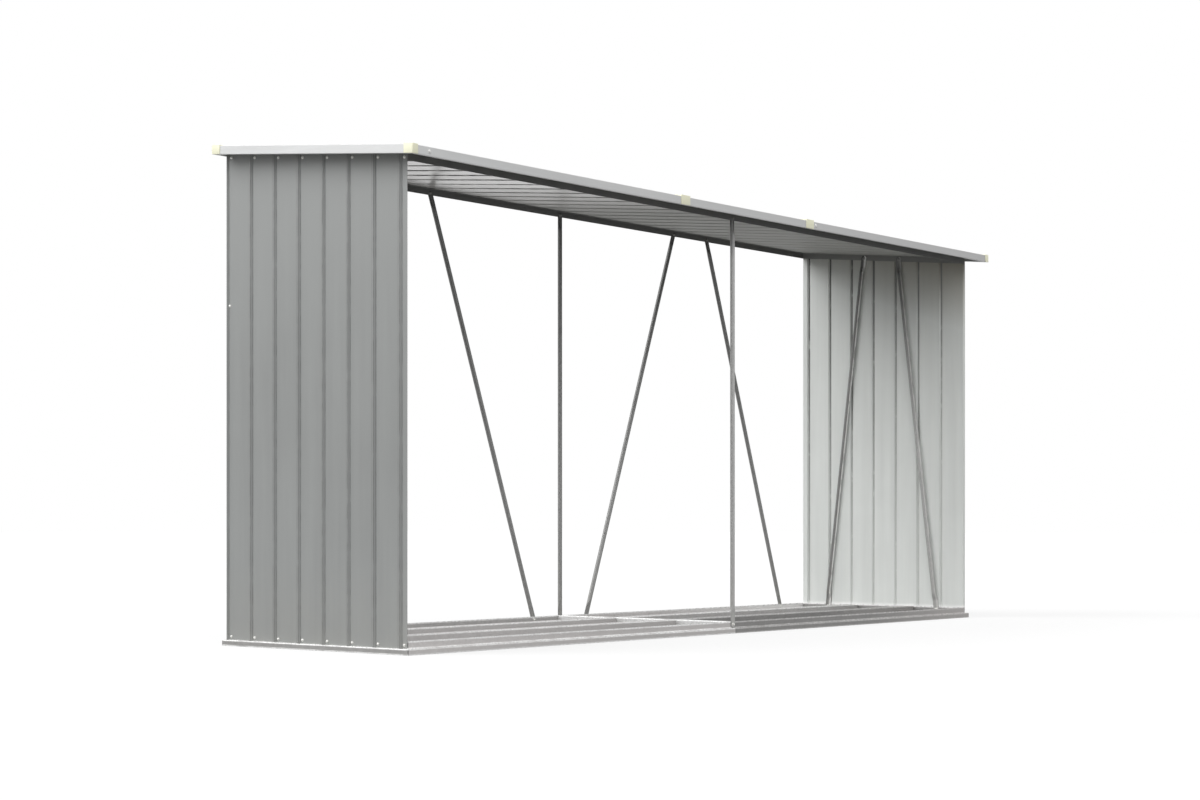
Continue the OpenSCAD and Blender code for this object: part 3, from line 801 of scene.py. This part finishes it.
def makeTube(node, ends, offsets, thickDir, finish):
    made = bmesh.new()
    bend = made.verts.layers.float.new("bend")  # marks the side that faces front, which takes a painted highlight
    along = (ends[1] - ends[0]).normalized()
    across = along.cross(thickDir)
    rings = []
    for end, offset, inward in zip(ends, offsets, (along, -along)):
        half = []
        for spot, width, eased in tubeStations():
            middle = end + inward * spot + offset * (1 - eased)
            ring = [middle + across * x + thickDir * y for x, y in tubeRing(width, eased)]
            half.append([made.verts.new(place) for place in ring])
            for vert in half[-1]:
                vert[bend] = float((middle - vert.co).normalized().dot(deep) > tube["frontShare"])
        rings += half if not rings else half[::-1]
    for lower, upper in zip(rings, rings[1:]):
        for k in range(tube["sides"]):
            n = (k + 1) % tube["sides"]
            made.faces.new((lower[k], lower[n], upper[n], upper[k]))
    made.faces.new(rings[0][::-1])
    made.faces.new(rings[-1])
    bmesh.ops.recalc_face_normals(made, faces=made.faces[:])
    mesh = bpy.data.meshes.new(camel(node))
    made.to_mesh(mesh)
    made.free()
    mesh.materials.append(finishes[finish])
    addPiece(camel(node), mesh, node)


bolts = {"foot": [], "head": []}  # place and outward normal of each bolt head or nut


def addBolt(end, flatMiddle, outward, onFlat, onWeb):
    thin = tube["flatThickness"] / 2
    if onFlat:
        bolts[end].append((flatMiddle + outward * thin, outward))
    if onWeb:
        bolts[end].append((flatMiddle - outward * (thin + rail["sheet"]), -outward))


def makeStrut(node, sideways, footFirst, outwards, shift, shown, finish):
    low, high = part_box(node)
    inset = tube["flatWidth"] / 2
    near, far = low.dot(sideways) + inset, high.dot(sideways) - inset
    if not footFirst:
        near, far = far, near
    across = sideways.cross(up)
    depth = across * ((low + high).dot(across) / 2)
    ends = (sideways * near + up * (low.z + inset) + depth, sideways * far + up * (high.z - inset) + depth)
    offsets = [outward * shift for outward in outwards]
    makeTube(node, ends, offsets, outwards[0], finish)
    for end, spot, offset, outward, (onFlat, onWeb) in zip(bolts, ends, offsets, outwards, shown):
        addBolt(end, spot + offset, outward, onFlat, onWeb)


flatBeside = (tube["flatThickness"] + rail["sheet"]) / 2  # flat beside the web, tube in line with it
flatBehind = (tube["flatThickness"] - tube["diameter"]) / 2  # flat along the side of its tube
bothSides = (True, True)
makeStrut("front_post", right, True, (-deep, deep), flatBeside, (bothSides, bothSides), "postZinc")
for backNode, footFirst in (("back_post", True), ("back_brace_1", True), ("back_brace_2", False),
                            ("back_brace_3", True), ("back_brace_4", False)):
    makeStrut(backNode, right, footFirst, (deep, deep), 0.0, (bothSides, (False, True)),
              "strutZinc")
for side, inward in (("left", right), ("right", -right)):
    for place, footFirst, finish in (("front", True, "frontBraceZinc"), ("rear", False, "rearBraceZinc")):
        makeStrut(f"{side}_wall_brace_{place}", deep, footFirst, (inward, inward), flatBehind,
                  ((True, False), (True, False)), finish)
print("tubes made")


# Moulded caps and clips, with rounded edges

moulded = {"round": 0.9 * mm, "steps": 3, "weld": 0.005 * mm, "flatAngle": math.radians(2)}


def makeMoulded(node):
    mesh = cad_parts[node].data.copy()
    mesh.name = camel(node)
    made = bmesh.new()
    made.from_mesh(mesh)
    bmesh.ops.remove_doubles(made, verts=made.verts[:], dist=moulded["weld"])
    bmesh.ops.dissolve_limit(made, angle_limit=moulded["flatAngle"],
                             verts=made.verts[:], edges=made.edges[:])
    bmesh.ops.bevel(made, geom=made.edges[:], offset=moulded["round"], segments=moulded["steps"],
                    profile=0.5, affect="EDGES", clamp_overlap=True)
    made.to_mesh(mesh)
    made.free()
    mesh.materials.clear()
    mesh.materials.append(finishes["capPlastic"])
    addPiece(camel(node), mesh, node)


makeMoulded("corner_caps")
makeMoulded("trim_clips")
print("caps and clips made")


# Screws and bolts

screw = {
    "head": 7 * mm,
    "headHeight": 2.4 * mm,
    "headSides": 12,
    "washer": 9.5 * mm,
    "washerHeight": 1.0 * mm,
    "besideRib": 16 * mm,
    "aboveLedge": 10 * mm,
    "belowRoof": 13 * mm,
    "onFlange": 10 * mm,
    "fromEdge": 9 * mm,
    "edgeHeight": 1040 * mm,
}
trimScrew = {
    **screw,
    "head": 9 * mm,
    "washer": 13 * mm,
    "along": {"front_trim_left": 69 * mm, "front_trim_right": 38 * mm},
}
bolt = {"head": 10 * mm, "headHeight": 4 * mm, "headSides": 6, "washer": 13 * mm, "washerHeight": 1.0 * mm}
fastenerShares = {"washerTop": 0.88, "baseHeight": 0.6, "baseTop": 0.96, "crownTop": 0.55}
washerSides = 14
spinSeed = 7


def fastenerTree():
    tree, given, result = newGroup(
        "fasteners", "GeometryNodeTree",
        {"Spots": "Geometry", "Head": "Float", "Head Height": "Float", "Head Sides": "Int",
         "Washer": "Float", "Washer Height": "Float", "Seed": "Int",
         "Head Finish": "Material", "Washer Finish": "Material"},
        {"Fasteners": "Geometry"})
    headRadius = maths(tree, "MULTIPLY", given["Head"], 0.5)
    baseTop = maths(tree, "MULTIPLY", headRadius, fastenerShares["baseTop"])
    baseHeight = maths(tree, "MULTIPLY", given["Head Height"], fastenerShares["baseHeight"])
    ringRadius = maths(tree, "MULTIPLY", given["Washer"], 0.5)
    ring = addNode(tree, "GeometryNodeMeshCone", {
        "Vertices": washerSides, "Depth": given["Washer Height"], "Radius Bottom": ringRadius,
        "Radius Top": maths(tree, "MULTIPLY", ringRadius, fastenerShares["washerTop"])})
    marked = addNode(tree, "GeometryNodeCaptureAttribute", {"Geometry": ring.outputs[0]}, domain="FACE")
    marked.capture_items.new("BOOLEAN", "On Washer")
    marked.inputs["On Washer"].default_value = True
    lift = addNode(tree, "ShaderNodeCombineXYZ", {"Z": given["Washer Height"]})
    base = addNode(tree, "GeometryNodeMeshCone", {
        "Vertices": given["Head Sides"], "Depth": baseHeight,
        "Radius Bottom": headRadius, "Radius Top": baseTop})
    baseUp = addNode(tree, "GeometryNodeTransform", {
        "Geometry": base.outputs[0], "Translation": lift.outputs[0]})
    crownLift = addNode(tree, "ShaderNodeCombineXYZ", {
        "Z": maths(tree, "ADD", baseHeight, given["Washer Height"])})
    crown = addNode(tree, "GeometryNodeMeshCone", {
        "Vertices": given["Head Sides"],
        "Depth": maths(tree, "SUBTRACT", given["Head Height"], baseHeight),
        "Radius Bottom": baseTop,
        "Radius Top": maths(tree, "MULTIPLY", headRadius, fastenerShares["crownTop"])})
    crownUp = addNode(tree, "GeometryNodeTransform", {
        "Geometry": crown.outputs[0], "Translation": crownLift.outputs[0]})
    head = addNode(tree, "GeometryNodeJoinGeometry")
    tree.links.new(baseUp.outputs[0], head.inputs[0])
    tree.links.new(crownUp.outputs[0], head.inputs[0])
    whole = addNode(tree, "GeometryNodeJoinGeometry")
    tree.links.new(head.outputs[0], whole.inputs[0])
    tree.links.new(marked.outputs["Geometry"], whole.inputs[0])
    facing = addNode(tree, "GeometryNodeInputNamedAttribute", {"Name": "facing"}, data_type="FLOAT_VECTOR")
    aligned = addNode(tree, "FunctionNodeAlignRotationToVector", {"Vector": facing.outputs[0]}, axis="Z")
    spin = addNode(tree, "FunctionNodeRandomValue", {"Max": math.tau, "Seed": given["Seed"]},
                   data_type="FLOAT")
    turn = addNode(tree, "FunctionNodeAxisAngleToRotation", {
        "Axis": (0.0, 0.0, 1.0), "Angle": spin.outputs["Value"]})
    turned = addNode(tree, "FunctionNodeRotateRotation", {
        "Rotation": aligned.outputs[0], "Rotate By": turn.outputs[0]}, rotation_space="LOCAL")
    placed = addNode(tree, "GeometryNodeInstanceOnPoints", {
        "Points": given["Spots"], "Instance": whole.outputs[0], "Rotation": turned.outputs[0]})
    real = addNode(tree, "GeometryNodeRealizeInstances", {"Geometry": placed.outputs[0]})
    headDone = addNode(tree, "GeometryNodeSetMaterial", {
        "Geometry": real.outputs[0], "Material": given["Head Finish"]})
    ringDone = addNode(tree, "GeometryNodeSetMaterial", {
        "Geometry": headDone.outputs[0], "Selection": marked.outputs["On Washer"],
        "Material": given["Washer Finish"]})
    tree.links.new(ringDone.outputs[0], result["Fasteners"])
    return tree


fasteners = fastenerTree()


def makeFasteners(name, spots, kind, headFinish, washerFinish):
    mesh = bpy.data.meshes.new(name)
    mesh.from_pydata([s for s, _ in spots], [], [])
    facing = mesh.attributes.new("facing", "FLOAT_VECTOR", "POINT")
    facing.data.foreach_set("vector", [v for _, normal in spots for v in normal])
    made = meshFromTree(mesh, fasteners, {
        "Head": kind["head"], "Head Height": kind["headHeight"], "Head Sides": kind["headSides"],
        "Washer": kind["washer"], "Washer Height": kind["washerHeight"], "Seed": spinSeed,
        "Head Finish": finishes[headFinish], "Washer Finish": finishes[washerFinish]})
    addPiece(name, made)


wallScrews = []
for wallNode, side in (("left_wall", 1), ("right_wall", -1)):
    low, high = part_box(wallNode)
    face = (high.x - wall["sheet"]) if side > 0 else (low.x + wall["sheet"])
    begin = low.y if side > 0 else high.y
    width = high.y - low.y
    for place in wallRibs(width) + [width]:
        y = begin + side * (place - screw["besideRib"])
        for z in (low.z + screw["aboveLedge"], roofUnder(y) - screw["belowRoof"]):
            wallScrews.append((Vector((face, y, z)), right * -side))
    edgeY = begin + side * (width - screw["fromEdge"])
    wallScrews.append((Vector((face, edgeY, screw["edgeHeight"])), right * -side))
roofScrews = []
roofPans = roof["sheets"] * roof["pans"]
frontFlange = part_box("front_beam_left")[0].y + screw["onFlange"]
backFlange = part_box("back_beam_left")[1].y - screw["onFlange"]
for k in range(1, roofPans):
    x = k * 2 * roofReach / roofPans - roofReach + screw["besideRib"]
    for y in (frontFlange, backFlange):
        roofScrews.append((Vector((x, y, roofUnder(y))) + roofNormal * roof["sheet"], roofNormal))
trimScrews = []
for trimNode, along in trimScrew["along"].items():
    low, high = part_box(trimNode)
    trimScrews.append((Vector((low.x + along, roofFront, low.z + trim["height"] / 2)), -deep))
makeFasteners("trimScrews", trimScrews, trimScrew, "washerWhite", "washerWhite")
makeFasteners("wallScrews", wallScrews, screw, "screwZinc", "screwZinc")
makeFasteners("roofScrews", roofScrews, screw, "screwZinc", "washerWhite")
# Foot bolts take the light zinc and head bolts the dark zinc: the same bolts, painted lit near the floor and
# painted shade under the roof.
makeFasteners("footBolts", bolts["foot"], bolt, "screwZinc", "screwZinc")
makeFasteners("headBolts", bolts["head"], bolt, "boltZinc", "boltZinc")
print("screws made:", len(trimScrews + wallScrews + roofScrews))
print("bolts made:", len(bolts["foot"] + bolts["head"]))


# Studio: pale floor, soft light, white background

studio = {
    "sky": 0.74,
    "suns": {  # direction to the light, strength and width in degrees
        "keyLight": (Vector((-0.66, 0.46, 0.59)), 1.65, 48),
        "fillLight": (Vector((-0.45, -0.55, 0.7)), 0.85, 60),
    },
    "floorSize": 120.0,
    "floorColour": (0.94, 0.94, 0.94, 1.0),
    "floorBounce": (0.14, 0.14, 0.14, 1.0),
    "floorWhite": 0.7,
}


def seenDirectly(tree):
    path = addNode(tree, "ShaderNodeLightPath").outputs
    seen = maths(tree, "MAXIMUM", path["Is Camera Ray"], path["Is Glossy Ray"])
    return maths(tree, "MAXIMUM", seen, path["Is Transmission Ray"])


def makeWorld():
    world = bpy.data.worlds.new("studio")
    world.use_nodes = True
    tree = world.node_tree
    seen = seenDirectly(tree)
    strength = addNode(tree, "ShaderNodeMapRange", {"Value": seen, "To Min": studio["sky"], "To Max": 1.0})
    backdrop = tree.nodes["Background"]
    backdrop.inputs["Color"].default_value = (1, 1, 1, 1)
    tree.links.new(strength.outputs[0], backdrop.inputs["Strength"])
    bpy.context.scene.world = world


def makeFloor():
    half = studio["floorSize"] / 2
    mesh = bpy.data.meshes.new("floor")
    corners = [(-half, -half, 0), (half, -half, 0), (half, half, 0), (-half, half, 0)]
    mesh.from_pydata(corners, [], [(0, 1, 2, 3)])
    floor = bpy.data.objects.new("floor", mesh)
    bpy.context.scene.collection.objects.link(floor)
    material = bpy.data.materials.new("floorPaper")
    material.use_nodes = True
    tree = material.node_tree
    tree.nodes.remove(tree.nodes["Principled BSDF"])
    seen = seenDirectly(tree)
    colour = blend(tree, seen, studio["floorBounce"], studio["floorColour"])
    paper = addNode(tree, "ShaderNodeBsdfDiffuse", {"Color": colour})
    white = addNode(tree, "ShaderNodeEmission", {"Color": (1, 1, 1, 1), "Strength": 1.0})
    share = maths(tree, "MULTIPLY", seen, studio["floorWhite"])
    both = addNode(tree, "ShaderNodeMixShader", {0: share, 1: paper.outputs[0], 2: white.outputs[0]})
    tree.links.new(both.outputs[0], tree.nodes["Material Output"].inputs["Surface"])
    mesh.materials.append(material)


def makeSun(name, towards, strength, width):
    lamp = bpy.data.lights.new(name, "SUN")
    lamp.energy = strength
    lamp.angle = math.radians(width)
    sun = bpy.data.objects.new(name, lamp)
    sun.rotation_euler = (-towards).to_track_quat("-Z", "Y").to_euler()
    bpy.context.scene.collection.objects.link(sun)


makeWorld()
makeFloor()
for sunName, sunValues in studio["suns"].items():
    makeSun(sunName, *sunValues)
bpy.context.scene.view_settings.view_transform = "Standard"
print("studio made")


# Camera at the photo's angle

view = {
    "place": (-6.0107, -4.5902, 0.3779),
    "heading": math.radians(-50.105),
    "lens": 64.573,
    "sensor": 36.0,
    "shift": (0.03695, 0.10188),
    "clipEnd": 300.0,
}
lens = bpy.data.cameras.new("camera")
lens.sensor_width = view["sensor"]
lens.lens = view["lens"]
lens.shift_x, lens.shift_y = view["shift"]
lens.clip_end = view["clipEnd"]
camera = bpy.data.objects.new("camera", lens)
camera.location = view["place"]
camera.rotation_euler = (math.radians(90), 0, view["heading"])
bpy.context.scene.collection.objects.link(camera)
bpy.context.scene.camera = camera
